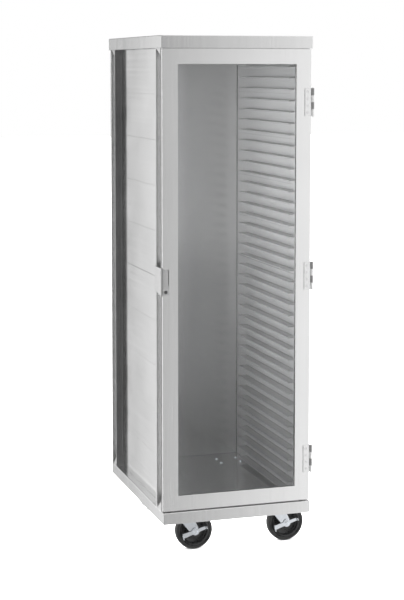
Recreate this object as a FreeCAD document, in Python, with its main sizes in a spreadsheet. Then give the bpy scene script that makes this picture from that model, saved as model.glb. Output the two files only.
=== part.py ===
"""Enclosed pan cabinet on four swivel casters, drawn as a parametric assembly.

Frame: +X to the right, +Y to the back, +Z up, in millimetres. The origin is on
the floor under the middle of the cabinet, and the door is on the -Y side.
"""
import FreeCAD
import Part
import os
import re
import Sketcher

SIZES = {
    # cabinet body
    "cap_width": 522.0,
    "cap_depth": 700.0,
    "cap_height": 40.5,
    "cap_lap": 1.0,
    "gauge": 2.0,
    "fold_r": 2.0,
    "fit_gap": 0.3,
    "base_inset": 4.0,
    "base_height": 38.0,
    "deck_top": 158.5,
    # side planks and their pan ledges
    "plank_high": 152.4,
    "plank_half_count": 5.0,
    "plank_web": 3.0,
    "plank_inset": 25.0,
    "plank_front": 25.0,
    "plank_joint": 0.1,
    "plank_back": 686.0,
    "ledge_pitch": 38.1,
    "ledge_count": 4.0,
    "ledge_first": 16.8,
    "ledge_reach": 31.0,
    "ledge_thick": 2.2,
    "ledge_lip": 4.0,
    "ledge_front": 56.0,
    "ledge_back": 580.0,
    # corner posts, rails and back panel
    "post_gauge": 2.5,
    "front_post_y": 22.0,
    "front_post_deep": 66.0,
    "front_post_lip": 12.0,
    "hinge_lip": 26.0,
    "rear_post_y": 633.0,
    "rear_post_deep": 58.0,
        "rear_post_step": 1.6,
    "back_sheet": 1.6,
    "back_flange": 14.0,
    "header_drop": 11.5,
    "sill_high": 13.5,
    "sill_deep": 26.0,
    "gusset_low_side": 34.0,
    "gusset_high_side": 22.0,
    # door
    "door_left": 5.0,
    "door_right": 5.0,
    "door_front": 5.0,
    "door_thick": 13.0,
    "door_low_gap": 4.0,
    "door_top_gap": 2.0,
    "stile": 51.5,
    "rail": 49.5,
    "door_sheet": 1.6,
    "reveal": 3.0,
    "pane_thick": 3.0,
    "pane_bite": 9.0,
    "seal_side": 1.3,
    "seal_edge": 12.0,
    "gasket_wide": 9.0,
    "gasket_edge": 3.0,
    "gasket_thick": 3.8,
    # hinges
    "hinge_high": 92.0,
    "hinge_low_z": 303.0,
    "hinge_mid_z": 925.0,
    "hinge_top_z": 1504.0,
    "leaf_thick": 2.2,
    "leaf_wide": 27.0,
    "side_leaf_wide": 50.0,
    "knuckle_r": 4.25,
    "pin_r": 2.2,
    "run_gap": 0.05,
    "knuckle_gap": 0.4,
    "pin_tip": 3.0,
    "screw_r": 2.0,
    "screw_head_r": 3.6,
    "screw_head_high": 1.1,
    "screw_long": 7.0,
    # latch
    "latch_x": 17.0,
    "latch_z": 922.0,
    "latch_wide": 21.0,
    "latch_high": 86.0,
    "latch_proud": 1.6,
    "latch_corner": 3.0,
    "latch_deep": 11.0,
    "latch_wall": 2.0,
    "lock_drop": 32.0,
    "lock_r": 5.6,
    "lock_long": 12.5,
    "handle_low": 31.0,
    "handle_thick": 3.0,
    "handle_gap": 0.8,
    "handle_heel": 2.0,
    "handle_relief": 2.6,
    "handle_room": 9.5,
    "handle_pin_r": 1.6,
    "bolt_high": 10.0,
    "bolt_thick": 4.0,
    "strike_proud": 5.6,
    "strike_deep": 72.0,
    "strike_high": 95.0,
    "strike_wall": 1.4,
    "strike_slope": 12.0,
    "strike_round": 2.5,
    # casters
    "caster_x": 97.5,
    "caster_front_y": 102.0,
    "caster_rear_y": 588.0,
    "channel_thick": 3.0,
    "channel_wide": 112.0,
    "channel_lip": 18.0,
    "plate_long": 95.0,
    "plate_wide": 80.0,
    "plate_thick": 4.0,
    "bolt_pitch_x": 76.0,
    "bolt_pitch_y": 58.0,
    "bolt_r": 3.9,
    "bolt_hole_r": 4.2,
    "bolt_head_r": 7.0,
    "bolt_head_thick": 4.0,
    "nut_thick": 6.0,
    "race_r": 30.0,
    "race_low": 139.0,
    "kingpin_r": 6.0,
    "kingpin_head_r": 9.0,
    "kingpin_head": 5.0,
    "crown_low": 130.0,
    "crown_thick": 3.0,
    "fork_race_r": 26.0,
    "fork_race": 5.0,
    "fork_gap": 38.0,
    "fork_sheet": 3.0,
    "fork_nose": 24.0,
    "fork_back": 30.0,
    "fork_boss_r": 14.0,
    "trail": 41.0,
    "wheel_r": 63.5,
    "wheel_wide": 32.0,
    "tread_r": 52.0,
    "tyre_round": 5.0,
    "rim_r": 45.0,
    "web_half": 5.0,
    "hub_r": 15.0,
    "hub_wide": 36.0,
    "axle_r": 4.75,
    "axle_head_r": 8.5,
    "axle_head": 4.5,
    "lever_thick": 3.0,
    "lever_hub_r": 13.0,
    "lever_long": 50.0,
    "lever_short": 41.0,
    "lever_arm": 16.0,
    "lever_tab": 14.0,
    # rivets
    "rivet_r": 3.2,
    "rivet_high": 1.2,
}

os.makedirs("parts", exist_ok=True)
doc = FreeCAD.newDocument("PanCabinet")
sheet = doc.addObject("Spreadsheet::Sheet", "Sizes")
for row, (alias, number) in enumerate(SIZES.items(), start=1):
    sheet.set("A%d" % row, alias)
    sheet.set("B%d" % row, str(number))
    sheet.setAlias("B%d" % row, alias)
doc.recompute()

NODES = []

# Places worked out from the sheet, as expressions.
LEFT = "(-cap_width / 2)"
FRONT = "(-(cap_depth - base_inset) / 2)"
FRAME_X = "(-cap_width / 2 + base_inset)"
PLANK_X = "(-cap_width / 2 + base_inset + plank_inset)"
WALL_X = "(-cap_width / 2 + base_inset + plank_inset + plank_web)"
STACK_TOP = "(deck_top + 2 * plank_half_count * plank_high)"
CAP_LOW = "(deck_top + 2 * plank_half_count * plank_high - cap_lap)"
CAP_TOP = "(deck_top + 2 * plank_half_count * plank_high - cap_lap + cap_height)"
POST_TOP = "(%s - gauge)" % CAP_TOP
DOOR_X = "(-cap_width / 2 + door_left)"
DOOR_WIDE = "(cap_width - door_left - door_right)"
DOOR_Y = "(-(cap_depth - base_inset) / 2 + door_front)"
DOOR_BACK = "(-(cap_depth - base_inset) / 2 + door_front + door_thick)"
DOOR_LOW = "(deck_top + door_low_gap)"
DOOR_TOP = "(%s - door_top_gap)" % CAP_LOW
AXIS_X = "(cap_width / 2 - base_inset + knuckle_r)"
AXIS_Y = "(-(cap_depth - base_inset) / 2 + door_front - knuckle_r)"
PLATE_TOP = "(deck_top - gauge - channel_thick)"


def bound(expression):
    """Write an expression's names as cells of the sheet."""
    return re.sub(r"[a-z][a-z_]*", lambda word: "Sizes." + word.group(0), expression)


def bind(thing, **expressions):
    for name, expression in expressions.items():
        thing.setExpression(name.replace("__", "."), bound(expression))
    return thing


def place(thing, spot):
    for letter, expression in zip("xyz", spot):
        thing.setExpression("Placement.Base." + letter, bound(expression))
    return thing


def node(thing, label):
    """Mark an object as a sub-part and give it its name."""
    thing.Label = label
    NODES.append(thing)
    return thing


def box(name, low, size):
    """A block from its low corner and its size."""
    solid = doc.addObject("Part::Box", name)
    bind(solid, Length=size[0], Width=size[1], Height=size[2])
    return place(solid, low)


TURNS = {
    "Z": FreeCAD.Rotation(),
    "X": FreeCAD.Rotation(FreeCAD.Vector(0, 1, 0), 90),
    "Y": FreeCAD.Rotation(FreeCAD.Vector(1, 0, 0), -90),
}


def rod(name, foot, radius, length, along="Z"):
    """A cylinder from the middle of its foot, along a positive axis."""
    solid = doc.addObject("Part::Cylinder", name)
    solid.Placement.Rotation = TURNS[along]
    bind(solid, Radius=radius, Height=length)
    return place(solid, foot)


def cone(name, foot, low_radius, high_radius, length, along="Z"):
    solid = doc.addObject("Part::Cone", name)
    solid.Placement.Rotation = TURNS[along]
    bind(solid, Radius1=low_radius, Radius2=high_radius, Height=length)
    return place(solid, foot)


def cut(name, base, tool):
    result = doc.addObject("Part::Cut", name)
    result.Base = base
    result.Tool = tool
    return result


def fuse(name, pieces):
    result = doc.addObject("Part::MultiFuse", name)
    result.Shapes = pieces
    return result


def group(name, pieces):
    """Separate solids kept in one sub-part."""
    result = doc.addObject("Part::Compound", name)
    result.Links = pieces
    return result


def mirror(name, source):
    """The same piece on the other side of the middle plane."""
    result = doc.addObject("Part::Mirroring", name)
    result.Source = source
    result.Normal = (1, 0, 0)
    result.Base = (0, 0, 0)
    return result


def origin_plane(body, role):
    for feature in body.Origin.OriginFeatures:
        if feature.Role == role:
            return feature
    raise ValueError(role)


def new_body(name):
    return doc.addObject("PartDesign::Body", name)


def new_sketch(body, name, role, offset="0"):
    sketch = body.newObject("Sketcher::SketchObject", name)
    sketch.AttachmentSupport = [(origin_plane(body, role), "")]
    sketch.MapMode = "FlatFace"
    sketch.setExpression("AttachmentOffset.Base.z", bound(offset))
    return sketch


def draw_outline(sketch, corners):
    """A closed outline whose every corner is bound to the sheet."""
    count = len(corners)
    start = sketch.GeometryCount
    ring = [FreeCAD.Vector(10 + 40 * (k % 2) + k, 7 * k + 5, 0) for k in range(count)]
    for k in range(count):
        sketch.addGeometry(Part.LineSegment(ring[k], ring[(k + 1) % count]), False)
    for k in range(count):
        follower = start + (k + 1) % count
        sketch.addConstraint(Sketcher.Constraint("Coincident", start + k, 2, follower, 1))
    for k, (across, up) in enumerate(corners):
        for kind, expression in (("DistanceX", across), ("DistanceY", up)):
            index = sketch.addConstraint(Sketcher.Constraint(kind, -1, 1, start + k, 1, 10.0 + k))
            sketch.setExpression("Constraints[%d]" % index, bound(expression))
    return sketch


def draw_circle(sketch, across, up, radius):
    start = sketch.GeometryCount
    ring = Part.Circle(FreeCAD.Vector(20, 20, 0), FreeCAD.Vector(0, 0, 1), 5)
    sketch.addGeometry(ring, False)
    for constraint, expression in (
        (Sketcher.Constraint("DistanceX", -1, 1, start, 3, 20.0), across),
        (Sketcher.Constraint("DistanceY", -1, 1, start, 3, 20.0), up),
        (Sketcher.Constraint("Radius", start, 5.0), radius),
    ):
        index = sketch.addConstraint(constraint)
        sketch.setExpression("Constraints[%d]" % index, bound(expression))
    return sketch


def frame_corners(low, high):
    """The four corners of an upright rectangle."""
    return [(low[0], low[1]), (high[0], low[1]), (high[0], high[1]), (low[0], high[1])]


def pad(body, sketch, name, length, back=False, middle=False):
    feature = body.newObject("PartDesign::Pad", name)
    feature.Profile = sketch
    feature.Reversed = back
    feature.Midplane = middle
    bind(feature, Length=length)
    return feature


def pocket(body, sketch, name, length, back=False, middle=False):
    feature = body.newObject("PartDesign::Pocket", name)
    feature.Profile = sketch
    feature.Reversed = back
    feature.Midplane = middle
    bind(feature, Length=length)
    return feature


def soften(body, feature, name, wanted, radius):
    """Round the wanted edges of a pad."""
    doc.recompute()
    edges = ["Edge%d" % number for number, edge in enumerate(feature.Shape.Edges, start=1) if wanted(edge)]
    fillet = body.newObject("PartDesign::Fillet", name)
    fillet.Base = (feature, edges)
    bind(fillet, Radius=radius)
    return fillet


def middle(feature):
    return feature.Shape.BoundBox.Center


def tray(name, low, high, foot, height):
    """A folded sheet tray with its open side down."""
    body = new_body(name)
    outer = new_sketch(body, name + "Outline", "XY_Plane", foot)
    draw_outline(outer, frame_corners(low, high))
    blank = pad(body, outer, name + "Sheet", height)
    soften(body, blank, name + "Bend", lambda edge: edge.BoundBox.ZMax > middle(blank).z, "fold_r")
    inner = new_sketch(body, name + "Hollow", "XY_Plane", foot)
    inner_low = ["%s + gauge" % value for value in low]
    inner_high = ["%s - gauge" % value for value in high]
    draw_outline(inner, frame_corners(inner_low, inner_high))
    pocket(body, inner, name + "Fold", "%s - gauge" % height, back=True)
    return body


def caster_spots():
    """The four swivel axes, each with its name."""
    for depth, y in (("front", "caster_front_y"), ("rear", "caster_rear_y")):
        for side, x in (("left", "(%s + caster_x)" % LEFT), ("right", "(-%s - caster_x)" % LEFT)):
            yield "%s_%s" % (depth, side), x, "(%s + %s)" % (FRONT, y)


def bolt_spots():
    """The sixteen caster bolts."""
    for name, x, y in caster_spots():
        for across in ("-", "+"):
            for along in ("-", "+"):
                yield ("%s %s bolt_pitch_x / 2" % (x, across), "%s %s bolt_pitch_y / 2" % (y, along))


def make_base():
    """Base tray, cross channels and the bolts that hold the casters."""
    low = (FRAME_X, "(%s - base_inset)" % FRONT)
    high = ("(-%s)" % FRAME_X, "(%s + cap_depth - base_inset)" % FRONT)
    base = tray("BaseTray", low, high, "deck_top - base_height", "base_height")
    holes = [rod("DeckHole", (x, y, "deck_top - 2 * gauge - channel_thick"), "bolt_hole_r", "4 * gauge + channel_thick")
             for x, y in bolt_spots()]
    tools = group("DeckHoles", holes)
    node(cut("BaseTrayDrilled", base, tools), "base_tray")
    channels = []
    for depth, y in (("Front", "caster_front_y"), ("Rear", "caster_rear_y")):
        body = new_body("Channel" + depth)
        section = new_sketch(body, "Channel%sSection" % depth, "YZ_Plane")
        top = "deck_top - gauge"
        near = "%s + %s - channel_wide / 2" % (FRONT, y)
        far = "%s + %s + channel_wide / 2" % (FRONT, y)
        draw_outline(section, [
            (near, top), (near, top + " - channel_lip"),
            (near + " + channel_thick", top + " - channel_lip"), (near + " + channel_thick", top + " - channel_thick"),
            (far + " - channel_thick", top + " - channel_thick"), (far + " - channel_thick", top + " - channel_lip"),
            (far, top + " - channel_lip"), (far, top)])
        pad(body, section, "Channel%sFold" % depth, "-2 * %s - 2 * gauge - 1" % FRAME_X, middle=True)
        channels.append(cut("Channel%sDrilled" % depth, body, tools))
    node(group("CasterChannels", channels), "caster_channels")
    bolts = []
    for x, y in bolt_spots():
        foot = PLATE_TOP + " - plate_thick - nut_thick"
        head = cone("BoltHead", (x, y, "deck_top"), "bolt_head_r", "bolt_head_r / 2", "bolt_head_thick")
        shank = rod("BoltShank", (x, y, foot + " - 1"), "bolt_r", "deck_top - (%s) + 2" % foot)
        nut = rod("BoltNut", (x, y, foot), "bolt_head_r", "nut_thick")
        bolts.append(fuse("CasterBolt", [head, shank, nut]))
    node(group("CasterBolts", bolts), "caster_bolts")


def make_cap():
    low = (LEFT, FRONT)
    high = ("(-%s)" % LEFT, "(%s + cap_depth)" % FRONT)
    node(tray("TopCap", low, high, CAP_LOW, "cap_height"), "top_cap")


def channel_post(name, step, near, deep, far_lip, near_lip=None):
    """A left corner post: a channel open to the outside, with a lip on its far side."""
    body = new_body(name)
    section = new_sketch(body, name + "Section", "XY_Plane", "deck_top")
    outer = "%s + %s" % (FRAME_X, step)
    inner = "%s - fit_gap" % PLANK_X
    y0 = "%s + %s" % (FRONT, near)
    y1 = "%s + %s + %s" % (FRONT, near, deep)
    wall = "post_gauge"
    corners = [
        (outer, y0), (inner, y0), (inner, y1), (outer, y1),
        (outer, "%s - %s" % (y1, far_lip)), ("%s + %s" % (outer, wall), "%s - %s" % (y1, far_lip)),
        ("%s + %s" % (outer, wall), "%s - %s" % (y1, wall)), ("%s - %s" % (inner, wall), "%s - %s" % (y1, wall)),
        ("%s - %s" % (inner, wall), "%s + %s" % (y0, wall))]
    if near_lip:
        corners += [("%s + %s" % (outer, wall), "%s + %s" % (y0, wall)),
                    ("%s + %s" % (outer, wall), "%s + %s" % (y0, near_lip)), (outer, "%s + %s" % (y0, near_lip))]
    else:
        corners.append((outer, "%s + %s" % (y0, wall)))
    draw_outline(section, corners)
    pad(body, section, name + "Length", "%s - deck_top" % POST_TOP)
    return body


def make_posts():
    front = channel_post("FrontPost", "0", "front_post_y", "front_post_deep", "front_post_lip")
    hinged = channel_post("HingePost", "0", "front_post_y", "front_post_deep", "front_post_lip", "hinge_lip")
    rear = channel_post("RearPost", "rear_post_step", "rear_post_y", "rear_post_deep", "back_flange / 2")
    node(front, "front_post_left")
    node(mirror("FrontPostRight", hinged), "front_post_right")
    node(rear, "rear_post_left")
    node(mirror("RearPostRight", rear), "rear_post_right")


def make_rails():
    """Header, sill and the two side rails that carry the cap."""
    front = "(%s + front_post_y)" % FRONT
    body = new_body("Header")
    section = new_sketch(body, "HeaderSection", "YZ_Plane")
    low = "%s - header_drop" % CAP_LOW
    back = "%s + front_post_deep" % front
    draw_outline(section, [
        (front, low), (back, low), (back, low + " + post_gauge"), (front + " + post_gauge", low + " + post_gauge"),
        (front + " + post_gauge", POST_TOP + " - post_gauge"), (back, POST_TOP + " - post_gauge"),
        (back, POST_TOP), (front, POST_TOP)])
    pad(body, section, "HeaderLength", "-2 * %s - 2 * fit_gap" % WALL_X, middle=True)
    node(body, "header")
    body = new_body("Sill")
    section = new_sketch(body, "SillSection", "YZ_Plane")
    back = "%s + sill_deep" % front
    draw_outline(section, [
        (front, "deck_top"), (back, "deck_top"), (back, "deck_top + post_gauge"),
        (front + " + post_gauge", "deck_top + post_gauge"), (front + " + post_gauge", "deck_top + sill_high"),
        (front, "deck_top + sill_high")])
    pad(body, section, "SillLength", "-2 * %s - 2 * fit_gap" % WALL_X, middle=True)
    node(body, "door_sill")
    body = new_body("TopRail")
    start = "%s + front_post_y + front_post_deep + fit_gap" % FRONT
    section = new_sketch(body, "TopRailSection", "XZ_Plane", "-(%s)" % start)
    outer = FRAME_X
    inner = PLANK_X
    draw_outline(section, [
        (outer, STACK_TOP), (inner, STACK_TOP), (inner, POST_TOP), (outer, POST_TOP),
        (outer, POST_TOP + " - post_gauge"), (inner + " - post_gauge", POST_TOP + " - post_gauge"),
        (inner + " - post_gauge", STACK_TOP + " + post_gauge"), (outer, STACK_TOP + " + post_gauge")])
    pad(body, section, "TopRailLength", "rear_post_y - front_post_y - front_post_deep - 2 * fit_gap", back=True)
    node(group("TopRails", [body, mirror("TopRailRight", body)]), "top_rails")


def make_plank(number):
    """One extruded plank of the left wall, with its pan ledges."""
    name = "Plank%02d" % number
    body = new_body(name)
    web = new_sketch(body, name + "Web", "XZ_Plane", "-(%s + plank_front)" % FRONT)
    draw_outline(web, frame_corners((PLANK_X, "plank_joint"), (WALL_X, "plank_high - plank_joint")))
    pad(body, web, name + "Skin", "plank_back - plank_front", back=True)
    ledge = new_sketch(body, name + "Ledge", "XZ_Plane", "-(%s + ledge_front)" % FRONT)
    tip = WALL_X + " + ledge_reach"
    low = "ledge_first - ledge_thick"
    draw_outline(ledge, [
        (WALL_X, "ledge_first"), (WALL_X, low), (tip + " - ledge_thick", low),
        (tip + " - ledge_thick", "ledge_first - ledge_lip"), (tip, "ledge_first - ledge_lip"), (tip, "ledge_first")])
    feature = pad(body, ledge, name + "Shelf", "ledge_back - ledge_front", back=True)
    row = body.newObject("PartDesign::LinearPattern", name + "Shelves")
    row.Originals = [feature]
    row.Direction = (ledge, ["V_Axis"])
    row.Mode = "Spacing"
    bind(row, Offset="ledge_pitch", Occurrences="ledge_count")
    body.Tip = row
    place(body, ("0", "0", "deck_top + %d * plank_high" % number))
    return body


def make_walls():
    half = int(SIZES["plank_half_count"])
    for part, start in (("lower", 0), ("upper", half)):
        left = [make_plank(start + k) for k in range(half)]
        right = [mirror("PlankRight", plank) for plank in left]
        node(group("LeftPlanks", left), "left_planks_" + part)
        node(group("RightPlanks", right), "right_planks_" + part)


def make_back():
    """Back panel with a flange that wraps each rear post."""
    body = new_body("BackPanel")
    section = new_sketch(body, "BackPanelSection", "XY_Plane", "deck_top")
    x = FRAME_X
    back = "%s + rear_post_y + rear_post_deep + back_sheet" % FRONT
    draw_outline(section, [
        (x, back), (x, back + " - back_flange"), (x + " + back_sheet", back + " - back_flange"),
        (x + " + back_sheet", back + " - back_sheet"), ("-(%s + back_sheet)" % x, back + " - back_sheet"),
        ("-(%s + back_sheet)" % x, back + " - back_flange"), ("-" + x, back + " - back_flange"), ("-" + x, back)])
    pad(body, section, "BackPanelHeight", "%s - deck_top" % POST_TOP)
    node(body, "back_panel")


def make_gussets():
    """Triangular plates in the open mouths of the posts, at top and bottom."""
    wedges = []
    for name, step, near, far, sides in (
        ("Front", "0", "front_post_y + post_gauge", "front_post_y + front_post_deep - front_post_lip", "L"),
        ("Hinge", "0", "front_post_y + hinge_lip", "front_post_y + front_post_deep - front_post_lip", "R"),
        ("Rear", "rear_post_step", "rear_post_y + post_gauge", "rear_post_y + rear_post_deep - back_flange", "LR"),
    ):
        near = "(%s + %s + fit_gap)" % (FRONT, near)
        far = "(%s + %s - fit_gap)" % (FRONT, far)
        for end, foot, rise in (("Low", "deck_top + fit_gap", "+ gusset_low_side"),
                                ("High", "%s - fit_gap" % CAP_LOW, "- gusset_high_side")):
            body = new_body("Gusset" + name + end)
            outline = new_sketch(body, "Gusset%s%sOutline" % (name, end), "YZ_Plane", "%s + %s" % (FRAME_X, step))
            draw_outline(outline, [(near, foot), (far, foot), (near, "%s %s" % (foot, rise))])
            pad(body, outline, "Gusset%s%sSheet" % (name, end), "post_gauge")
            if "L" in sides:
                wedges.append(body)
            if "R" in sides:
                wedges.append(mirror("GussetRight", body))
    node(group("CornerGussets", wedges), "corner_gussets")


def ring(name, low, high, border, near, thick):
    """A flat rectangular ring that faces the front."""
    body = new_body(name)
    outer = new_sketch(body, name + "Outer", "XZ_Plane", "-(%s)" % near)
    draw_outline(outer, frame_corners(low, high))
    inner_low = ("%s + %s" % (low[0], border[0]), "%s + %s" % (low[1], border[1]))
    inner_high = ("%s - %s" % (high[0], border[0]), "%s - %s" % (high[1], border[1]))
    draw_outline(outer, frame_corners(inner_low, inner_high))
    pad(body, outer, name + "Ring", thick, back=True)
    return body


def door_screw_spots():
    """Screws of the three hinge leaves on the door: x and z of each."""
    for height in ("hinge_low_z", "hinge_mid_z", "hinge_top_z"):
        for step in (-3, -1, 1, 3):
            yield AXIS_X + " - leaf_wide + 9", "%s + %d * hinge_high / 8" % (height, step)


def side_screw_spots():
    """Screws of the three hinge leaves on the post: y and z of each."""
    for height in ("hinge_low_z", "hinge_mid_z", "hinge_top_z"):
        for step in (-3, 3):
            yield "%s + front_post_y + hinge_lip / 2" % FRONT, "%s + %d * hinge_high / 8" % (height, step)


def make_door():
    low = (DOOR_X, DOOR_LOW)
    high = ("(%s + %s)" % (DOOR_X, DOOR_WIDE), DOOR_TOP)
    back_skin = "(%s - door_sheet)" % DOOR_BACK
    shell = ring("DoorShell", low, high, ("stile", "rail"), DOOR_Y, "door_thick - door_sheet")
    in_low = ["%s + door_sheet" % value for value in low]
    in_high = ["%s - door_sheet" % value for value in high]
    hollow = ring("DoorHollow", in_low, in_high, ("stile - 2 * door_sheet", "rail - 2 * door_sheet"),
                  DOOR_Y + " + door_sheet", "door_thick")
    step_low = ("%s + stile - seal_edge" % low[0], "%s + rail - seal_edge" % low[1])
    step_high = ("%s - stile + seal_edge" % high[0], "%s - rail + seal_edge" % high[1])
    sizes = ("%s - (%s)" % (step_high[0], step_low[0]), "door_thick", "%s - (%s)" % (step_high[1], step_low[1]))
    rebate = box("DoorRebate", (step_low[0], DOOR_Y + " + reveal", step_low[1]), sizes)
    latch_hole = box("LatchHole", (
        LATCH_LEFT + " + latch_wall / 2 - 0.2", DOOR_Y + " - 1", LATCH_LOW + " + latch_wall / 2 - 0.2"),
        ("latch_wide - latch_wall + 0.4", "door_sheet + 2", "latch_high - latch_wall + 0.4"))
    edge_hole = box("BoltWindow", (DOOR_X + " - 1", BOLT_Y + " - 0.4", BOLT_LOW + " - 0.4"),
                    ("2 * door_sheet + 1", "bolt_thick + 0.8", "bolt_high + 0.8"))
    screw_holes = [rod("DoorScrewHole", (x, DOOR_Y + " - 1", z), "screw_r + 0.1", "door_sheet + 2", "Y")
                   for x, z in door_screw_spots()]
    tools = group("DoorCuts", [hollow, rebate, latch_hole, edge_hole] + screw_holes)
    node(cut("DoorOuter", shell, fuse("DoorTool", tools.Links)), "door_outer_frame")
    doc.removeObject(tools.Name)

    skin = ring("DoorInnerSkin", low, high, ("stile", "rail"), back_skin, "door_sheet")
    seal_back = DOOR_Y + " + reveal + 2 * seal_side + pane_thick"
    reveal_low = ("%s + stile - door_sheet" % low[0], "%s + rail - door_sheet" % low[1])
    reveal_high = ("%s - stile + door_sheet" % high[0], "%s - rail + door_sheet" % high[1])
    wall = ring("DoorInnerReveal", reveal_low, reveal_high, ("door_sheet", "door_sheet"), seal_back,
                "%s - (%s)" % (back_skin, seal_back))
    node(fuse("DoorInner", [skin, wall]), "door_inner_frame")

    pane_low = ("%s + stile - pane_bite" % low[0], "%s + rail - pane_bite" % low[1])
    pane_high = ("%s - stile + pane_bite" % high[0], "%s - rail + pane_bite" % high[1])
    pane_size = ("%s - (%s)" % (pane_high[0], pane_low[0]), "pane_thick", "%s - (%s)" % (pane_high[1], pane_low[1]))
    pane_y = DOOR_Y + " + reveal + seal_side"
    node(box("Pane", (pane_low[0], pane_y, pane_low[1]), pane_size), "window_pane")
    seal = ring("SealRing", step_low, step_high, ("seal_edge", "seal_edge"), DOOR_Y + " + reveal",
                "2 * seal_side + pane_thick")
    slot = box("SealSlot", (pane_low[0], pane_y, pane_low[1]), pane_size)
    node(cut("WindowSeal", seal, slot), "window_seal")

    gasket_low = ["%s + gasket_edge" % value for value in low]
    gasket_high = ["%s - gasket_edge" % value for value in high]
    node(ring("DoorGasket", gasket_low, gasket_high, ("gasket_wide", "gasket_wide"), DOOR_BACK, "gasket_thick"),
         "door_gasket")


def knuckles(name, height, mine):
    """Every second knuckle of one hinge, as rods with their heights."""
    step = "hinge_high / 4"
    for k in range(4):
        if k % 2 == mine:
            low = "%s - hinge_high / 2 + %d * %s + knuckle_gap / 2" % (height, k, step)
            yield low, "%s - knuckle_gap" % step


def make_hinges():
    door_leaves = []
    side_leaves = []
    pins = []
    for height in ("hinge_low_z", "hinge_mid_z", "hinge_top_z"):
        foot = "%s - hinge_high / 2" % height
        leaf_y = DOOR_Y + " - leaf_thick"
        clear = "knuckle_r + 0.5"
        door_parts = [box("DoorLeaf", (AXIS_X + " - leaf_wide", leaf_y, foot),
                          ("leaf_wide - (%s)" % clear, "leaf_thick", "hinge_high"))]
        side_parts = [box("SideLeaf", (AXIS_X + " - knuckle_r", AXIS_Y + " + " + clear, foot),
                          ("leaf_thick", "side_leaf_wide - (%s)" % clear, "hinge_high"))]
        for low, high in knuckles("Door", height, 0):
            door_parts.append(box("DoorTab", (AXIS_X + " - leaf_wide + 1", leaf_y, low), ("leaf_wide - 1", "leaf_thick", high)))
            door_parts.append(rod("DoorKnuckle", (AXIS_X, AXIS_Y, low), "knuckle_r", high))
        for low, high in knuckles("Side", height, 1):
            side_parts.append(box("SideTab", (AXIS_X + " - knuckle_r", AXIS_Y, low), ("leaf_thick", "side_leaf_wide - 1", high)))
            side_parts.append(rod("SideKnuckle", (AXIS_X, AXIS_Y, low), "knuckle_r", high))
        bore = rod("HingeBore", (AXIS_X, AXIS_Y, foot + " - 1"), "pin_r + run_gap", "hinge_high + 2")
        door_holes = [rod("LeafHole", (x, leaf_y + " - 1", z), "screw_r + 0.1", "leaf_thick + 2", "Y")
                      for x, z in door_screw_spots() if height in z]
        side_holes = [rod("LeafHole", (AXIS_X + " - knuckle_r - 1", y, z), "screw_r + 0.1", "leaf_thick + 2", "X")
                      for y, z in side_screw_spots() if height in z]
        door_leaves.append(cut("DoorLeafBored", fuse("DoorLeafBlank", door_parts), fuse("DoorLeafTool", [bore] + door_holes)))
        side_leaves.append(cut("SideLeafBored", fuse("SideLeafBlank", side_parts), fuse("SideLeafTool", [bore] + side_holes)))
        shaft = rod("PinShaft", (AXIS_X, AXIS_Y, foot + " - pin_tip"), "pin_r", "hinge_high + 2 * pin_tip")
        head = cone("PinHead", (AXIS_X, AXIS_Y, "%s + hinge_high / 2 + 0.2" % height), "knuckle_r - 0.4",
                    "pin_r + 0.2", "pin_tip")
        pins.append(fuse("HingePin", [shaft, head]))
    node(group("DoorLeaves", door_leaves), "hinge_door_leaves")
    node(group("SideLeaves", side_leaves), "hinge_post_leaves")
    node(group("HingePins", pins), "hinge_pins")
    screws = []
    for x, z in door_screw_spots():
        top = DOOR_Y + " - leaf_thick"
        head = cone("ScrewHead", (x, top + " - screw_head_high", z), "screw_head_r / 2", "screw_head_r", "screw_head_high", "Y")
        shank = rod("ScrewShank", (x, top + " - screw_head_high / 2", z), "screw_r", "screw_long", "Y")
        screws.append(fuse("DoorScrew", [head, shank]))
    node(group("DoorScrews", screws), "hinge_door_screws")
    screws = []
    for y, z in side_screw_spots():
        top = AXIS_X + " - knuckle_r + leaf_thick"
        head = cone("ScrewHead", (top, y, z), "screw_head_r", "screw_head_r / 2", "screw_head_high", "X")
        shank = rod("ScrewShank", (top + " - leaf_thick", y, z), "screw_r", "leaf_thick + screw_head_high / 2", "X")
        screws.append(fuse("PostScrew", [head, shank]))
    node(group("PostScrews", screws), "hinge_post_screws")


LATCH_LEFT = "(-cap_width / 2 + latch_x - latch_wide / 2)"
LATCH_LOW = "(latch_z - latch_high / 2)"
LOCK_X = "(-cap_width / 2 + latch_x - latch_wall)"
LOCK_Z = "(latch_z - lock_drop)"
BOLT_Y = "(-(cap_depth - base_inset) / 2 + door_front + latch_deep - bolt_thick - 1.1 * latch_wall)"
BOLT_LOW = "(latch_z - lock_drop + lock_r + latch_wall)"
HANDLE_WIDE = "(latch_wide - 2 * latch_wall - handle_relief - 1)"
HANDLE_X = "(-cap_width / 2 + latch_x + latch_wide / 2 - latch_wall / 2 - 1 - handle_relief - handle_heel)"
HANDLE_Y = "(-(cap_depth - base_inset) / 2 + door_front - latch_proud + handle_thick + 1.4)"


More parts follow.
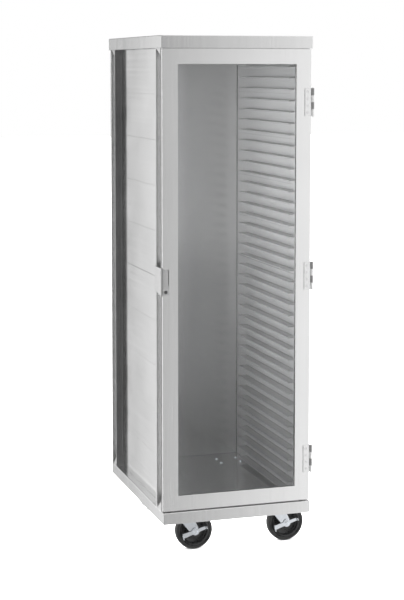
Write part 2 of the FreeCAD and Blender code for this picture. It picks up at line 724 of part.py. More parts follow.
def make_latch():
    """Latch case in the door's stile, with its pull, lock, bolt and keeper."""
    face_y = DOOR_Y + " - latch_proud"
    plate = new_body("LatchPlate")
    outline = new_sketch(plate, "LatchPlateOutline", "XZ_Plane", "-(%s)" % face_y)
    draw_outline(outline, frame_corners(
        (LATCH_LEFT, LATCH_LOW), (LATCH_LEFT + " + latch_wide", LATCH_LOW + " + latch_high")))
    blank = pad(plate, outline, "LatchPlateCast", "latch_proud", back=True)
    soften(plate, blank, "LatchPlateCorners", lambda edge: edge.BoundBox.YLength > 1, "latch_corner")
    case_x = LATCH_LEFT + " + latch_wall / 2"
    case = box("LatchCase", (case_x, DOOR_Y, LATCH_LOW + " + latch_wall / 2"),
               ("latch_wide - latch_wall", "latch_deep", "latch_high - latch_wall"))
    well = box("HandleWell", (
        case_x + " + latch_wall - handle_gap", face_y + " - 1", LATCH_LOW + " + latch_wall + handle_low - handle_gap"),
        (HANDLE_WIDE + " + handle_gap + handle_relief", "handle_room + 1",
         "latch_high - 2 * latch_wall - handle_low - 2 + 2 * handle_gap"))
    lock_hole = rod("LockHole", (LOCK_X, face_y + " - 1", LOCK_Z), "lock_r + run_gap", "lock_long + 2", "Y")
    bolt_way = box("BoltWay", (case_x + " - 1", BOLT_Y + " - 0.3", BOLT_LOW + " - 0.3"),
                   ("latch_wide - latch_wall", "bolt_thick + 0.6", "bolt_high + 0.6"))
    pin_hole = rod("PinHole", (HANDLE_X, HANDLE_Y, LATCH_LOW + " + latch_wall + handle_low - 4"),
                   "handle_pin_r + run_gap", "latch_high - 2 * latch_wall - handle_low + 6")
    tools = fuse("LatchTools", [well, lock_hole, bolt_way, pin_hole])
    node(cut("LatchBody", fuse("LatchBlank", [plate, case]), tools), "latch_body")

    handle_low = LATCH_LOW + " + latch_wall + handle_low"
    handle_high = "latch_high - 2 * latch_wall - handle_low - 2"
    blade = box("HandleBlade", (case_x + " + latch_wall", face_y, handle_low),
                (HANDLE_WIDE, "handle_thick", handle_high))
    eye = rod("HandleEye", (HANDLE_X, HANDLE_Y, handle_low), "handle_pin_r + 1.4", handle_high)
    bore = rod("HandleBore", (HANDLE_X, HANDLE_Y, handle_low + " - 1"), "handle_pin_r + run_gap", handle_high + " + 2")
    node(cut("LatchHandle", fuse("HandleBlank", [blade, eye]), bore), "latch_handle")
    pin = rod("HandlePin", (HANDLE_X, HANDLE_Y, handle_low + " - 3.5"), "handle_pin_r", handle_high + " + 5")
    node(pin, "latch_handle_pin")

    barrel = rod("LockBarrel", (LOCK_X, face_y + " - 0.6", LOCK_Z), "lock_r", "lock_long", "Y")
    keyway = box("Keyway", (LOCK_X + " - 0.6", face_y + " - 1", LOCK_Z + " - lock_r / 2"), ("1.2 * gauge / 2", "5", "lock_r"))
    node(cut("LockCylinder", barrel, keyway), "lock_cylinder")

    bolt_x = DOOR_X + " + fit_gap"
    node(box("LockBolt", (bolt_x, BOLT_Y, BOLT_LOW), ("latch_wide - 3 * latch_wall", "bolt_thick", "bolt_high")), "lock_bolt")

    keeper = new_body("Strike")
    outline = new_sketch(keeper, "StrikeOutline", "YZ_Plane", "%s - strike_proud" % FRAME_X)
    near = DOOR_Y + " + 1.5"
    far = near + " + strike_deep"
    low = "latch_z - strike_high / 2"
    draw_outline(outline, [(near, low), (far, low + " + strike_slope"), (far, low + " + strike_high"),
                           (near, low + " + strike_high")])
    blank = pad(keeper, outline, "StrikeCast", "strike_proud")
    soften(keeper, blank, "StrikeRound", lambda edge: edge.BoundBox.XMax < middle(blank).x, "strike_round")
    notch = box("StrikeMouth", (
        "%s - strike_proud + strike_wall" % FRAME_X, BOLT_Y + " - fit_gap", BOLT_LOW + " - fit_gap"),
        ("strike_proud", "bolt_thick + 2 * fit_gap", "bolt_high + 2 * fit_gap"))
    node(cut("StrikeHousing", keeper, notch), "strike_housing")


def make_caster(name, x, y, braked):
    """One swivel caster, with the wheel trailing towards +X."""
    top = PLATE_TOP
    plate = box("CasterPlate", ("%s - plate_long / 2" % x, "%s - plate_wide / 2" % y, top + " - plate_thick"),
                ("plate_long", "plate_wide", "plate_thick"))
    race = rod("UpperRace", (x, y, "race_low"), "race_r", top + " - plate_thick - race_low")
    pin = rod("Kingpin", (x, y, "crown_low - kingpin_head"), "kingpin_r", top + " - crown_low + kingpin_head - plate_thick")
    head = rod("KingpinHead", (x, y, "crown_low - kingpin_head - 0.3"), "kingpin_head_r", "kingpin_head")
    holes = [rod("PlateHole", ("%s %s bolt_pitch_x / 2" % (x, across), "%s %s bolt_pitch_y / 2" % (y, along), top + " - 2 * plate_thick"),
                 "bolt_hole_r", "3 * plate_thick") for across in "-+" for along in "-+"]
    nut_room = [rod("NutRoom", ("%s %s bolt_pitch_x / 2" % (x, across), "%s %s bolt_pitch_y / 2" % (y, along), "race_low - 1"),
                    "bolt_head_r + 0.5", "%s - plate_thick - race_low + 1" % top) for across in "-+" for along in "-+"]
    blank = fuse("PlateBlank", [plate, race, pin, head])
    node(cut("TopPlate_" + name, blank, fuse("PlateTools", holes + nut_room)), "caster_plate_" + name)

    fork = new_body("Fork_" + name)
    leg = new_sketch(fork, "ForkLeg_" + name, "XZ_Plane")
    crown = "crown_low + crown_thick"
    draw_outline(leg, [
        ("-fork_nose", crown), ("-fork_nose", "crown_low - 10"), ("trail - fork_boss_r", "wheel_r - fork_boss_r / 2"),
        ("trail + fork_boss_r / 2", "wheel_r - fork_boss_r * 0.9"), ("trail + fork_boss_r", "wheel_r + fork_boss_r / 3"),
        ("fork_back", "crown_low - 12"), ("fork_back", crown)])
    pad(fork, leg, "ForkBlank_" + name, "fork_gap + 2 * fork_sheet", middle=True)
    gap = new_sketch(fork, "ForkGap_" + name, "YZ_Plane")
    draw_outline(gap, frame_corners(("-fork_gap / 2", "wheel_r / 4"), ("fork_gap / 2", "crown_low")))
    pocket(fork, gap, "ForkOpening_" + name, "8 * fork_nose", middle=True)
    ring_sketch = new_sketch(fork, "ForkRace_" + name, "XY_Plane", crown)
    draw_circle(ring_sketch, "0", "0", "fork_race_r")
    pad(fork, ring_sketch, "LowerRace_" + name, "fork_race")
    king = new_sketch(fork, "KingHole_" + name, "XY_Plane", crown + " + fork_race")
    draw_circle(king, "0", "0", "kingpin_r + run_gap")
    pocket(fork, king, "KingBore_" + name, "crown_thick + fork_race + 1")
    eye = new_sketch(fork, "AxleEye_" + name, "XZ_Plane")
    draw_circle(eye, "trail", "wheel_r", "axle_r + run_gap")
    pocket(fork, eye, "AxleHole_" + name, "fork_gap + 4 * fork_sheet", middle=True)
    node(place(fork, (x, y, "0")), "caster_fork_" + name)

    wheel_x = "(%s + trail)" % x
    core = new_body("Core_" + name)
    half = new_sketch(core, "CoreSection_" + name, "YZ_Plane")
    draw_outline(half, [
        ("-hub_wide / 2", "axle_r + run_gap"), ("hub_wide / 2", "axle_r + run_gap"), ("hub_wide / 2", "hub_r"),
        ("web_half", "hub_r + 4"), ("web_half", "rim_r - 3"), ("wheel_wide / 2 - 1", "rim_r"),
        ("wheel_wide / 2 - 1", "tread_r"), ("-(wheel_wide / 2 - 1)", "tread_r"),
        ("-(wheel_wide / 2 - 1)", "rim_r"), ("-web_half", "rim_r - 3"), ("-web_half", "hub_r + 4"), ("-hub_wide / 2", "hub_r")])
    turn = core.newObject("PartDesign::Revolution", "CoreTurn_" + name)
    turn.Profile = half
    turn.ReferenceAxis = (half, ["H_Axis"])
    turn.Angle = 360
    node(place(core, (wheel_x, y, "wheel_r")), "caster_wheel_core_" + name)
    tyre = new_body("Tyre_" + name)
    band = new_sketch(tyre, "TyreSection_" + name, "YZ_Plane")
    side = "wheel_wide / 2"
    draw_outline(band, [
        ("-(%s)" % side, "tread_r"), (side, "tread_r"), (side, "wheel_r - tyre_round"),
        (side + " - 0.3 * tyre_round", "wheel_r - 0.3 * tyre_round"), (side + " - tyre_round", "wheel_r"),
        ("-(%s - tyre_round)" % side, "wheel_r"), ("-(%s - 0.3 * tyre_round)" % side, "wheel_r - 0.3 * tyre_round"),
        ("-(%s)" % side, "wheel_r - tyre_round")])
    turn = tyre.newObject("PartDesign::Revolution", "TyreTurn_" + name)
    turn.Profile = band
    turn.ReferenceAxis = (band, ["H_Axis"])
    turn.Angle = 360
    node(place(tyre, (wheel_x, y, "wheel_r")), "caster_tyre_" + name)

    near = "%s - fork_gap / 2 - fork_sheet" % y
    reach = " - lever_thick - 0.6" if braked else ""
    far = "%s + fork_gap / 2 + fork_sheet" % y
    shaft = rod("AxleShaft", (wheel_x, near + reach + " - axle_head / 2", "wheel_r"), "axle_r",
                "%s - (%s%s) + axle_head" % (far, near, reach), "Y")
    head = cone("AxleHead", (wheel_x, near + reach + " - axle_head", "wheel_r"), "axle_head_r * 0.6", "axle_head_r",
                "axle_head", "Y")
    nut = rod("AxleNut", (wheel_x, far, "wheel_r"), "axle_head_r", "axle_head", "Y")
    node(fuse("Axle_" + name, [shaft, head, nut]), "caster_axle_" + name)
    if braked:
        make_brake(name, wheel_x, "(%s - 0.3)" % near)


def make_brake(name, x, near):
    """Two-ended toe lever on the outer end of a front wheel's axle."""
    lever = new_body("Lever_" + name)
    blade = new_sketch(lever, "LeverBlade_" + name, "XZ_Plane")
    arm = "lever_arm / 2"
    draw_outline(blade, [
        ("-lever_long", "-" + arm), ("lever_short", "-%s * 0.6" % arm), ("lever_short", "%s * 0.6" % arm),
        ("-lever_long", arm)])
    pad(lever, blade, "LeverSheet_" + name, "lever_thick")
    hub = new_sketch(lever, "LeverHub_" + name, "XZ_Plane")
    draw_circle(hub, "0", "0", "lever_hub_r")
    pad(lever, hub, "LeverBoss_" + name, "lever_thick")
    tabs = new_sketch(lever, "LeverTabs_" + name, "XZ_Plane")
    draw_outline(tabs, frame_corners(("-lever_long", "-%s" % arm), ("-lever_long + 3", arm)))
    pad(lever, tabs, "LeverTab_" + name, "lever_thick + lever_tab")
    nose = new_sketch(lever, "LeverNose_" + name, "XZ_Plane")
    draw_outline(nose, frame_corners(("lever_short - 3", "-%s * 0.6" % arm), ("lever_short", "%s * 0.6" % arm)))
    pad(lever, nose, "LeverNoseTab_" + name, "lever_thick + lever_tab / 2")
    eye = new_sketch(lever, "LeverEye_" + name, "XZ_Plane")
    draw_circle(eye, "0", "0", "axle_r + run_gap")
    pocket(lever, eye, "LeverBore_" + name, "4 * lever_tab", middle=True)
    lever.Placement.Rotation = FreeCAD.Rotation(FreeCAD.Vector(0, 1, 0), -17)
    node(place(lever, (x, near, "wheel_r")), "brake_lever_" + name)


def make_rivets():
    """Rivet heads inside the rear posts, where they hold the plank webs."""
    heads = []
    face = "%s - fit_gap - post_gauge - rivet_high" % PLANK_X
    for k in range(2 * int(SIZES["plank_half_count"])):
        height = "deck_top + %d * plank_high + plank_high / 2" % k
        spot = (face, "%s + rear_post_y + rear_post_deep / 2" % FRONT, height)
        left = cone("RivetHead", spot, "rivet_r / 2", "rivet_r", "rivet_high", "X")
        heads += [left, mirror("RivetHeadRight", left)]
    node(group("WallRivets", heads), "wall_rivets")


def check_and_write():
    doc.recompute()
    for thing in doc.Objects:
        if "Invalid" in thing.State or "Error" in thing.State:
            raise RuntimeError("%s failed: %s" % (thing.Label, thing.State))
    for thing in NODES:
        shape = thing.Shape
        if shape.isNull() or not shape.isValid():
            raise RuntimeError("%s has no valid shape" % thing.Label)
    for thing in NODES:
        thing.Shape.exportStep("parts/%s.step" % thing.Label)
        print(thing.Label, len(thing.Shape.Solids), round(thing.Shape.Volume))


make_base()
make_cap()
make_posts()
make_rails()
make_walls()
make_back()
make_gussets()
make_door()
make_hinges()
make_latch()
for caster, x, y in caster_spots():
    make_caster(caster, x, y, caster.startswith("front"))
make_rivets()
check_and_write()
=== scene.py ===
"""Enclosed pan cabinet on casters: materials, detail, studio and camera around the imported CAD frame."""
import math

import bmesh
import bpy
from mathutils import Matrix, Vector


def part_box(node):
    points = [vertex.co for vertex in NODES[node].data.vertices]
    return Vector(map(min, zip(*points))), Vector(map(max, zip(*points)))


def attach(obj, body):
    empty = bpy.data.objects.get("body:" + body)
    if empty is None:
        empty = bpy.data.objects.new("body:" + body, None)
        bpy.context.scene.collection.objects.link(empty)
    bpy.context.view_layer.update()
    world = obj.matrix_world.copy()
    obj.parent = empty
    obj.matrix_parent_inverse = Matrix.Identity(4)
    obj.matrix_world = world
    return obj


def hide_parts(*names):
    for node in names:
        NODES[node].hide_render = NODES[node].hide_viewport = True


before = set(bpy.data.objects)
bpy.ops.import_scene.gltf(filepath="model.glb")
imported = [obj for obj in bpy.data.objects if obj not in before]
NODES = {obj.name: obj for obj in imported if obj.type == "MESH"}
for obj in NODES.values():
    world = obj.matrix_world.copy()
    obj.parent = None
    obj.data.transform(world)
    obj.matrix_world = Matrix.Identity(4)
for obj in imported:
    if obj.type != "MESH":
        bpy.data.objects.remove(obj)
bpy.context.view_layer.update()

MM = 0.001


# ---------------------------------------------------------------- materials

def new_material(name):
    material = bpy.data.materials.new(name)
    material.use_nodes = True
    tree = material.node_tree
    tree.nodes.clear()
    output = tree.nodes.new("ShaderNodeOutputMaterial")
    shader = tree.nodes.new("ShaderNodeBsdfPrincipled")
    tree.links.new(shader.outputs["BSDF"], output.inputs["Surface"])
    return material, tree, shader


def add(tree, kind, links=None, **settings):
    """One node, with its attributes, socket values and links set by name."""
    made = tree.nodes.new("ShaderNode" + kind)
    for key, value in settings.items():
        if hasattr(made, key):
            setattr(made, key, value)
        else:
            made.inputs[key.replace("_", " ")].default_value = value
    for key, source in (links or {}).items():
        tree.links.new(source, made.inputs[key])
    return made


def stretched(tree, scale):
    """Object coordinates in metres, scaled on each axis."""
    place = add(tree, "TexCoord")
    mapping = add(tree, "Mapping", {"Vector": place.outputs["Object"]})
    mapping.inputs["Scale"].default_value = scale
    return mapping.outputs["Vector"]


def noise(tree, scale, size=1.0, detail=3.0, rough=0.55):
    return add(tree, "TexNoise", {"Vector": stretched(tree, scale)},
               Scale=size, Detail=detail, Roughness=rough).outputs["Fac"]


def remap(tree, value, low, high, from_low=0.25, from_high=0.75):
    made = add(tree, "MapRange", {"Value": value})
    for key, number in (("From Min", from_low), ("From Max", from_high), ("To Min", low), ("To Max", high)):
        made.inputs[key].default_value = number
    return made.outputs["Result"]


def arithmetic(tree, operation, first, second):
    made = add(tree, "Math", operation=operation)
    for socket, value in zip(made.inputs, (first, second)):
        if isinstance(value, (int, float)):
            socket.default_value = value
        else:
            tree.links.new(value, socket)
    return made.outputs["Value"]


def tinted(tree, value, dark, light):
    ramp = add(tree, "ValToRGB", {"Fac": value})
    ramp.color_ramp.elements[0].color = (*dark, 1)
    ramp.color_ramp.elements[1].color = (*light, 1)
    return ramp.outputs["Color"]


def edge_mask(tree, radius):
    """One on edges and nought on flats, from the bevelled normal: it carries wear, grime and painted shade.
    """
    flat = add(tree, "NewGeometry").outputs["Normal"]
    soft = add(tree, "Bevel", samples=4, Radius=radius).outputs["Normal"]
    dot = add(tree, "VectorMath", operation="DOT_PRODUCT")
    tree.links.new(flat, dot.inputs[0])
    tree.links.new(soft, dot.inputs[1])
    return remap(tree, dot.outputs["Value"], 1.0, 0.0, 0.8, 0.995)


def brushed(name, tone, grain, rough=0.3, spread=0.07, fine=1500.0, long=9.0, bump=0.02,
            edge=0.6 * MM, tint=(1.0, 1.0, 1.0), edges=1.12, contrast=0.06):
    """Brushed sheet metal: streaks along the grain and faint handling marks.

    Its edges are tone times the edges factor: worn bright above one, and dark below it, for grime in joints
    and for painted shade.
    """
    material, tree, shader = new_material(name)
    across = [fine] * 3
    across["XYZ".index(grain)] = long
    streaks = noise(tree, across, detail=2.0)
    broad = noise(tree, [value / 9 for value in across], detail=3.0)
    smudge = noise(tree, (5.0, 5.0, 5.0), detail=5.0, rough=0.6)
    edge_weight = edge_mask(tree, edge)
    mixed = arithmetic(tree, "ADD", arithmetic(tree, "MULTIPLY", streaks, 0.55),
                       arithmetic(tree, "MULTIPLY", broad, 0.45))
    dark = [tone * (1 - contrast) * part for part in tint]
    light = [min(1.0, tone * (1 + contrast) * part) for part in tint]
    colour = tinted(tree, remap(tree, mixed, 0.0, 1.0, 0.35, 0.65), dark, light)
    share = arithmetic(tree, "MULTIPLY", edge_weight, 0.5 if edges > 1 else 1.0)
    edged = add(tree, "MixRGB", {"Fac": share, "Color1": colour})
    edged.inputs["Color2"].default_value = (*[min(1.0, tone * edges * part) for part in tint], 1)
    tree.links.new(edged.outputs["Color"], shader.inputs["Base Color"])
    level = arithmetic(tree, "ADD", remap(tree, mixed, rough - spread, rough + spread, 0.3, 0.7),
                       remap(tree, smudge, -0.03, 0.04))
    tree.links.new(level, shader.inputs["Roughness"])
    shader.inputs["Metallic"].default_value = 1.0
    soft = add(tree, "Bevel", samples=4, Radius=edge)
    raised = add(tree, "Bump", {"Height": mixed, "Normal": soft.outputs["Normal"]},
                 Strength=bump, Distance=0.4 * MM)
    tree.links.new(raised.outputs["Normal"], shader.inputs["Normal"])
    return material


EDGE_GRIME_AND_SHADE = 0.12             # tone of a plank's edges, as a share of the metal's: grime in the joints, and painted shade along the joints and ledge edges
EDGE_GRIME_AND_SHADE_WIDE = 2.2 * MM
UP_FACE_SHADE = 0.45             # painted shade: how far faces that look up go to the dark tone below
UP_FACE_SHADE_TONE = 0.14


def mill(name, tone, grain, axis, skin, rough_out, rough_in, fine=1100.0):
    """Sheet that is brushed beyond skin from the middle plane, and dull nearer to it.

    The dull side has painted shade on faces that look up, such as the tops of the ledges.
    """
    material = brushed(name, tone, grain, rough=rough_out, spread=0.02, fine=fine, long=5.0, bump=0.008,
                       edge=EDGE_GRIME_AND_SHADE_WIDE, edges=EDGE_GRIME_AND_SHADE, contrast=0.02)
    tree = material.node_tree
    shader = next(item for item in tree.nodes if item.type == "BSDF_PRINCIPLED")
    place = add(tree, "SeparateXYZ", {"Vector": stretched(tree, (1.0, 1.0, 1.0))})
    reach = add(tree, "Math", {0: place.outputs[axis]}, operation="ABSOLUTE")
    inside = remap(tree, reach.outputs["Value"], 1.0, 0.0, skin - 0.3 * MM, skin)
    outer = shader.inputs["Roughness"].links[0].from_socket
    dull = arithmetic(tree, "MULTIPLY", inside, rough_in - rough_out)
    tree.links.new(arithmetic(tree, "ADD", outer, dull), shader.inputs["Roughness"])
    tree.links.new(remap(tree, inside, 1.0, 0.85, 0.0, 1.0), shader.inputs["Metallic"])
    # painted shade: faces that look up on the dull side are darkened, as if shadowed by the ledge above
    facing = add(tree, "SeparateXYZ", {"Vector": add(tree, "NewGeometry").outputs["Normal"]})
    facing_up_shade = arithmetic(tree, "MULTIPLY", inside, remap(tree, facing.outputs["Z"], 0.0, 1.0, 0.5, 0.8))
    plain_colour = shader.inputs["Base Color"].links[0].from_socket
    up_shaded_colour = add(tree, "MixRGB", {"Fac": arithmetic(tree, "MULTIPLY", facing_up_shade, UP_FACE_SHADE), "Color1": plain_colour})
    up_shaded_colour.inputs["Color2"].default_value = (UP_FACE_SHADE_TONE, UP_FACE_SHADE_TONE, UP_FACE_SHADE_TONE, 1)
    tree.links.new(up_shaded_colour.outputs["Color"], shader.inputs["Base Color"])
    return material


def moulded(name, dark, light, rough, grain=900.0, bump=0.15, edge=0.8 * MM):
    """Rubber or moulded plastic: fine pitting, dusty scuffs and soft edges."""
    material, tree, shader = new_material(name)
    pits = noise(tree, (grain, grain, grain), detail=2.0)
    scuffs = noise(tree, (45.0, 45.0, 45.0), detail=6.0, rough=0.65)
    edge_weight = edge_mask(tree, edge)
    shade = arithmetic(tree, "ADD", remap(tree, scuffs, 0.0, 0.7, 0.35, 0.75),
                       arithmetic(tree, "MULTIPLY", edge_weight, 0.5))
    tree.links.new(tinted(tree, shade, dark, light), shader.inputs["Base Color"])
    tree.links.new(remap(tree, scuffs, rough - 0.08, rough + 0.12, 0.3, 0.7), shader.inputs["Roughness"])
    soft = add(tree, "Bevel", samples=4, Radius=edge)
    raised = add(tree, "Bump", {"Height": pits, "Normal": soft.outputs["Normal"]},
                 Strength=bump, Distance=0.3 * MM)
    tree.links.new(raised.outputs["Normal"], shader.inputs["Normal"])
    return material


def clear_sheet(name):
    """Thin clear plastic: see-through, with a sheen and a faint film of hairline scratches."""
    material, tree, shader = new_material(name)
    film = noise(tree, (1.5, 60.0, 900.0), detail=4.0)
    shader.inputs["Base Color"].default_value = (0.85, 0.88, 0.90, 1)
    shader.inputs["Metallic"].default_value = 1.0
    tree.links.new(remap(tree, film, 0.02, 0.10, 0.3, 0.8), shader.inputs["Roughness"])
    clear = add(tree, "BsdfTransparent")
    clear.inputs["Color"].default_value = (0.985, 0.988, 0.99, 1)
    gloss = add(tree, "Fresnel", IOR=1.12)
    share = arithmetic(tree, "ADD", gloss.outputs["Fac"], remap(tree, film, 0.0, 0.01, 0.4, 0.8))
    mix = add(tree, "MixShader", {"Fac": share})
    tree.links.new(clear.outputs["BSDF"], mix.inputs[1])
    tree.links.new(shader.outputs["BSDF"], mix.inputs[2])
    output = next(item for item in tree.nodes if item.type == "OUTPUT_MATERIAL")
    tree.links.new(mix.outputs["Shader"], output.inputs["Surface"])
    return material


PLANK_SKIN = 231.6 * MM    # just inside the planks' outer faces
BACK_SKIN = 344.2 * MM     # just inside the back panel's outer face


def make_materials():
    return {
        "folded": brushed("folded_aluminium", 0.79, "Z", rough=0.2, spread=0.04),
        "folded_up": brushed("folded_aluminium_upright", 0.80, "Z", rough=0.24, spread=0.03,
                             contrast=0.03, bump=0.01),
        "door": brushed("door_aluminium", 0.90, "Z", rough=0.23, spread=0.03, contrast=0.03, bump=0.01),
        "plank": mill("plank_aluminium", 0.86, "Y", "X", PLANK_SKIN, 0.17, 0.32),
        "back": mill("back_aluminium", 0.66, "Z", "Y", BACK_SKIN, 0.25, 0.22, fine=900.0),
        # painted shadow: the hinge leaves' edges go dark (edges below one) to stand for the shadow lines at
        # the leaf edges and knuckle ends
        "hinge": brushed("hinge_steel", 0.90, "Z", rough=0.26, edge=1.0 * MM, edges=0.45, contrast=0.03),
        # painted shade: the post leaves' knuckles are a darker copy of the hinge steel, standing for the
        # shade in the knuckle gaps
        "knuckle_shade": brushed("hinge_steel_shaded", 0.35, "Z", rough=0.4, edge=0.4 * MM),
        "latch": brushed("latch_zinc", 0.78, "Z", rough=0.2, edge=0.8 * MM),
        "lock": brushed("lock_metal", 0.16, "Y", rough=0.3, edge=0.4 * MM),
        "zinc": brushed("bright_zinc", 0.82, "Z", rough=0.18, fine=500.0, long=120.0, edge=0.7 * MM,
                        tint=(0.95, 0.985, 1.03)),
        "rubber": moulded("black_rubber", (0.012, 0.012, 0.012), (0.04, 0.04, 0.04), 0.6),
        "tyre": moulded("tyre_rubber", (0.004, 0.004, 0.004), (0.02, 0.02, 0.02), 0.5),
        "core": moulded("core_plastic", (0.003, 0.003, 0.003), (0.014, 0.014, 0.015), 0.28),
        "clear": clear_sheet("clear_pane"),
    }


# The first word found in a node's name gives its finish; a node with none of them is folded sheet.
FINISHES = (
    ("hinge_post_leaves", "knuckle_shade"), ("hinge", "hinge"), ("caster_channels", "folded"), ("planks", "plank"),
    ("post", "folded_up"), ("back_panel", "back"), ("door_outer", "door"), ("door_inner", "door"),
    ("window_pane", "clear"), ("window_seal", "rubber"), ("gasket", "rubber"), ("lock_cyl", "lock"),
    ("latch", "latch"), ("strike", "latch"), ("lock_bolt", "hinge"), ("tyre", "tyre"), ("wheel_core", "core"),
    ("caster_", "zinc"), ("brake", "zinc"),
)


def finish_for(node):
    return next((finish for word, finish in FINISHES if word in node), "folded")


def paint(thing, material):
    thing.data.materials.clear()
    thing.data.materials.append(material)


def dress_frame(materials):
    for name, thing in NODES.items():
        finish = materials[finish_for(name)]
        if not thing.material_slots:
            thing.data.materials.append(finish)
        for place in thing.material_slots:
            place.material = finish


# ---------------------------------------------------------------- finer shapes

CORNERS = ("front_left", "front_right", "rear_left", "rear_right")
# Half profiles in millimetres: distance from the axle, and from the wheel's middle.
CORE_SIDE = (
    (5.3, 18.0), (12.2, 18.0), (13.8, 17.2), (14.6, 15.5), (16.0, 9.0), (18.5, 5.8), (21.0, 5.0), (37.0, 5.0),
    (40.5, 6.4), (43.0, 10.0), (44.6, 14.0), (46.0, 15.0), (49.6, 15.0), (50.8, 14.4), (51.4, 13.2),
)
TYRE_SIDE = (
    (51.6, 13.4), (52.2, 15.2), (53.4, 15.9), (57.5, 16.0), (59.6, 15.4), (61.8, 13.4), (63.1, 10.6),
    (63.5, 7.0),
)


def lathed(name, side, centre, material, segments=96):
    """A ring turned about the Y axis, from a half profile that is mirrored about the middle."""
    loop = [(r * MM, y * MM) for r, y in side] + [(r * MM, -y * MM) for r, y in reversed(side)]
    made = bmesh.new()
    rows = []
    for k in range(segments):
        turn = 2 * math.pi * k / segments
        rows.append([made.verts.new((r * math.cos(turn), y, r * math.sin(turn))) for r, y in loop])
    for k in range(segments):
        here, there = rows[k], rows[(k + 1) % segments]
        for i in range(len(loop)):
            j = (i + 1) % len(loop)
            made.faces.new((here[i], here[j], there[j], there[i])).smooth = True
    bmesh.ops.recalc_face_normals(made, faces=made.faces)
    mesh = bpy.data.meshes.new(name)
    made.to_mesh(mesh)
    made.free()
    mesh.set_sharp_from_angle(angle=math.radians(35))
    piece = bpy.data.objects.new(name, mesh)
    piece.location = centre
    bpy.context.scene.collection.objects.link(piece)
    paint(piece, material)
    return piece


def dress_wheels(materials):
    for corner in CORNERS:
        for kind, side, finish in (("wheel_core", CORE_SIDE, "core"), ("tyre", TYRE_SIDE, "tyre")):
            node = "caster_%s_%s" % (kind, corner)
            low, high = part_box(node)
            centre = [(low[i] + high[i]) / 2 for i in range(3)]
            piece = lathed("%s_shape_%s" % (kind, corner), side, centre, materials[finish])
            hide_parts(node)
            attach(piece, "wheel_" + corner)


def soften_edges(nodes, width):
    """Rounds the sharp edges of CAD nodes for the picture."""
    for name in nodes:
        weld = NODES[name].modifiers.new("weld", "WELD")
        weld.merge_threshold = 0.01 * MM
        bevel = NODES[name].modifiers.new("bevel", "BEVEL")
        bevel.width = width
        bevel.segments = 2
        bevel.limit_method = "ANGLE"
        bevel.angle_limit = math.radians(50)


# ---------------------------------------------------------------- studio

def look(thing, target):
    thing.rotation_euler = (Vector(target) - thing.location).to_track_quat("-Z", "Y").to_euler()


def area_light(name, spot, target, width, height, power):
    data = bpy.data.lights.new(name, "AREA")
    data.shape = "RECTANGLE"
    data.size = width
    data.size_y = height
    data.energy = power
    lamp = bpy.data.objects.new(name, data)
    lamp.location = spot
    look(lamp, target)
    lamp.visible_camera = False
    bpy.context.scene.collection.objects.link(lamp)
    return lamp


def make_floor():
    """A pale floor, kept out of the metal's reflections."""
    material, tree, shader = new_material("studio_floor")
    shade = noise(tree, (2.0, 2.0, 2.0), detail=3.0)
    tree.links.new(tinted(tree, shade, (0.90, 0.90, 0.90), (0.93, 0.93, 0.93)), shader.inputs["Base Color"])
    shader.inputs["Roughness"].default_value = 0.9
    shader.inputs["Specular IOR Level"].default_value = 0.1
    mesh = bpy.data.meshes.new("studio_floor")
    reach = 30.0
    corners = [(-reach, -reach, 0), (reach, -reach, 0), (reach, reach, 0), (-reach, reach, 0)]
    mesh.from_pydata(corners, [], [(0, 1, 2, 3)])
    floor = bpy.data.objects.new("studio_floor", mesh)
    floor.location.z = -0.0005
    floor.visible_glossy = False
    bpy.context.scene.collection.objects.link(floor)
    paint(floor, material)


# Brightness of the studio all round, by bearing in degrees clockwise from +Y seen from above.
ROUND = (
    (-180, 0.03), (-152, 0.03), (-140, 0.95), (-90, 0.85), (-40, 0.85), (-27, 1.5), (-17.2, 1.5),
    (-14.2, 0.02), (0, 0.05), (30, 0.5), (90, 0.9), (120, 1.45), (152.5, 1.45), (170, 0.02), (180, 0.02),
)


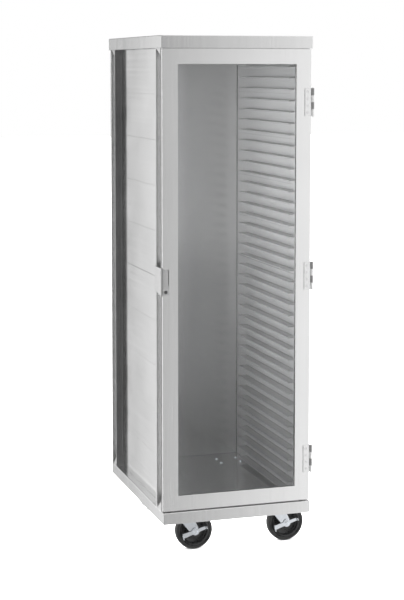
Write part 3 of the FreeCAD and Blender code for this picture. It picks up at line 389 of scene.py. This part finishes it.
def make_world():
    """A white room for the camera, and softboxes with dark flags between them for reflections."""
    world = bpy.data.worlds.new("studio")
    bpy.context.scene.world = world
    world.use_nodes = True
    tree = world.node_tree
    tree.nodes.clear()
    place = add(tree, "TexCoord")
    parts = add(tree, "SeparateXYZ", {"Vector": place.outputs["Generated"]})
    bearing = add(tree, "Math", operation="ARCTAN2")
    tree.links.new(parts.outputs["X"], bearing.inputs[0])
    tree.links.new(parts.outputs["Y"], bearing.inputs[1])
    turn = remap(tree, bearing.outputs["Value"], 0.0, 1.0, -math.pi, math.pi)
    ramp = add(tree, "ValToRGB", {"Fac": turn})
    elements = ramp.color_ramp.elements
    while len(elements) < len(ROUND):
        elements.new(0.5)
    for element, (angle, level) in zip(elements, ROUND):
        element.position = (angle + 180) / 360
        element.color = (level / 2, level / 2, level / 2, 1)
    steep = add(tree, "Math", {0: parts.outputs["Z"]}, operation="ABSOLUTE")
    lift = remap(tree, steep.outputs["Value"], 0.0, 1.0, 0.5, 0.9)
    dome = add(tree, "MixRGB", {"Fac": lift, "Color1": ramp.outputs["Color"]})
    dome.inputs["Color2"].default_value = (0.55, 0.55, 0.55, 1)
    rim = add(tree, "Background", {"Color": dome.outputs["Color"]}, Strength=2.0)
    white = add(tree, "Background", Strength=1.0)
    white.inputs["Color"].default_value = (1, 1, 1, 1)
    rays = add(tree, "LightPath")
    mix = add(tree, "MixShader", {"Fac": rays.outputs["Is Camera Ray"]})
    tree.links.new(rim.outputs["Background"], mix.inputs[1])
    tree.links.new(white.outputs["Background"], mix.inputs[2])
    add(tree, "OutputWorld", {"Surface": mix.outputs["Shader"]})


# Fill lamps: where each is, where it faces, its width and height, and its power in watts.
FILLS = {
    "side_fill": ((-0.19, 0.0, 0.98), (1, 0, 0.98), 0.56, 1.24, 1.65),
    "door_fill": ((0, -0.322, 1.26), (0, 0, 1.26), 0.38, 0.78, 0.3),
    "under_fill": ((0, 0, 0.119), (0, 0, 0), 0.44, 0.62, 4.0),
}
WASH = 9.0           # strength of the light from above
WASH_ANGLE = 2.6


def make_lights():
    """Two fills inside the cabinet, one under it, and a wide wash from above that whitens the floor."""
    fills = {name: area_light(name, *setting) for name, setting in FILLS.items()}
    fills["under_fill"].visible_glossy = False
    data = bpy.data.lights.new("floor_wash", "SUN")
    data.energy = WASH
    data.angle = WASH_ANGLE
    lamp = bpy.data.objects.new("floor_wash", data)
    lamp.location = (0, 0, 4)
    lamp.visible_glossy = False
    lamp.visible_camera = False
    bpy.context.scene.collection.objects.link(lamp)


def make_camera():
    """A long lens at eye height, to the left of the door."""
    data = bpy.data.cameras.new("camera")
    data.lens = 91.85
    data.sensor_width = 36
    data.shift_y = -0.18
    camera = bpy.data.objects.new("camera", data)
    camera.location = (-1.600, -5.0872, 1.6157)
    camera.rotation_euler = (math.radians(90 - 4.619), 0, math.radians(-17.300))
    bpy.context.scene.collection.objects.link(camera)
    bpy.context.scene.camera = camera


def make_studio():
    make_floor()
    make_world()
    make_lights()
    make_camera()
    settings = bpy.context.scene.view_settings
    settings.view_transform = "Standard"
    settings.look = "None"
    light_paths = bpy.context.scene.cycles
    light_paths.max_bounces = 16
    light_paths.glossy_bounces = 14


materials = make_materials()
dress_frame(materials)
dress_wheels(materials)
soften_edges(["brake_lever_front_left", "brake_lever_front_right"], 0.9 * MM)
make_studio()
